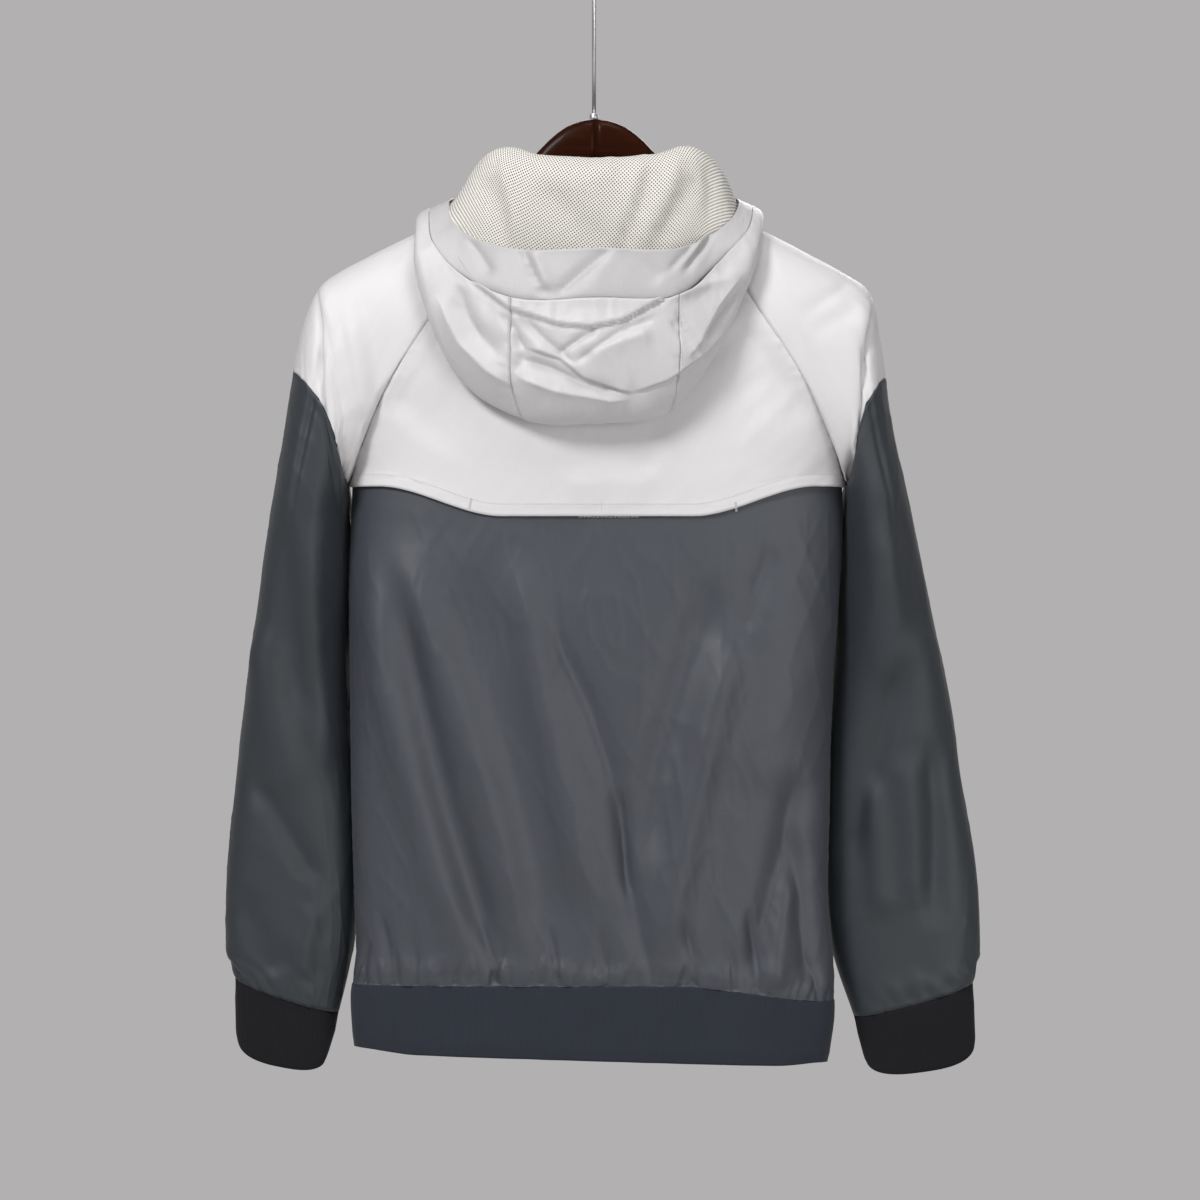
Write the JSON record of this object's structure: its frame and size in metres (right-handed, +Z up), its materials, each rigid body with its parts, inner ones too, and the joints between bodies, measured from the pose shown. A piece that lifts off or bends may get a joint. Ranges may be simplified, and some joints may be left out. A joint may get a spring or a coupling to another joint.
{
  "type": "hooded windbreaker jacket on wooden hanger",
  "caption": "Closed hooded raglan windbreaker with light shoulders, a vented back yoke, dark body and sleeves and ribbed cuffs and hem, hanging on a wooden hanger.",
  "frame": {"origin": "inside top of the hanger's hook, where a rail holds it", "axes": "+Z up; +Y to the jacket's front, so the back faces -Y; +X to the right as seen from behind"},
  "size_m": [0.626, 0.1883, 0.9486],
  "materials": {
    "back_lower": "woven polyester, slight sheen",
    "back_yoke": "woven polyester, matt",
    "front_left_lower": "woven polyester, slight sheen",
    "front_left_yoke": "woven polyester, matt",
    "front_right_lower": "woven polyester, slight sheen",
    "front_right_yoke": "woven polyester, matt",
    "hanger_left_arm": "dark glossy varnish",
    "hanger_right_arm": "dark glossy varnish",
    "hem_band": "rib knit, matt",
    "hood_band": "woven polyester, slight sheen",
    "hood_centre": "woven polyester, slight sheen",
    "hood_left_side": "woven polyester, slight sheen",
    "hood_lining": "knitted mesh",
    "hood_right_side": "woven polyester, slight sheen",
    "hook": "plated wire",
    "hook_collar": "plated wire",
    "left_cuff": "rib knit, matt",
    "left_sleeve_lower": "woven polyester, slight sheen",
    "left_sleeve_upper": "woven polyester, matt",
    "right_cuff": "rib knit, matt",
    "right_sleeve_lower": "woven polyester, slight sheen",
    "right_sleeve_upper": "woven polyester, matt",
    "vent_mesh": "knitted mesh",
    "zip_pull": "dull plated",
    "zip_slider": "dull plated",
    "zip_strip": "woven tape with coil teeth"
  },
  "bodies": {
    "jacket": {"back_lower": "back_lower", "back_yoke": "back_yoke", "front_left_lower": "front_left_lower", "front_left_yoke": "front_left_yoke", "front_right_lower": "front_right_lower", "front_right_yoke": "front_right_yoke", "hanger_left_arm": "hanger_left_arm", "hanger_right_arm": "hanger_right_arm", "hem_band": "hem_band", "hood_band": "hood_band", "hood_centre": "hood_centre", "hood_left_side": "hood_left_side", "hood_lining": "hood_lining", "hood_right_side": "hood_right_side", "hook": "hook", "hook_collar": "hook_collar", "left_cuff": "left_cuff", "left_sleeve_lower": "left_sleeve_lower", "left_sleeve_upper": "left_sleeve_upper", "right_cuff": "right_cuff", "right_sleeve_lower": "right_sleeve_lower", "right_sleeve_upper": "right_sleeve_upper", "vent_mesh": "vent_mesh", "zip_slider": "zip_slider", "zip_strip": "zip_strip"},
    "pull": {"zip_pull": "zip_pull"}
  },
  "joints": [
    {"name": "pull_hinge", "type": "hinge", "parent": "jacket", "child": "pull", "pos_m": [0.003, 0.05786, -0.30711], "axis": [1, 0, 0], "range_deg": [0, 165]}
  ]
}
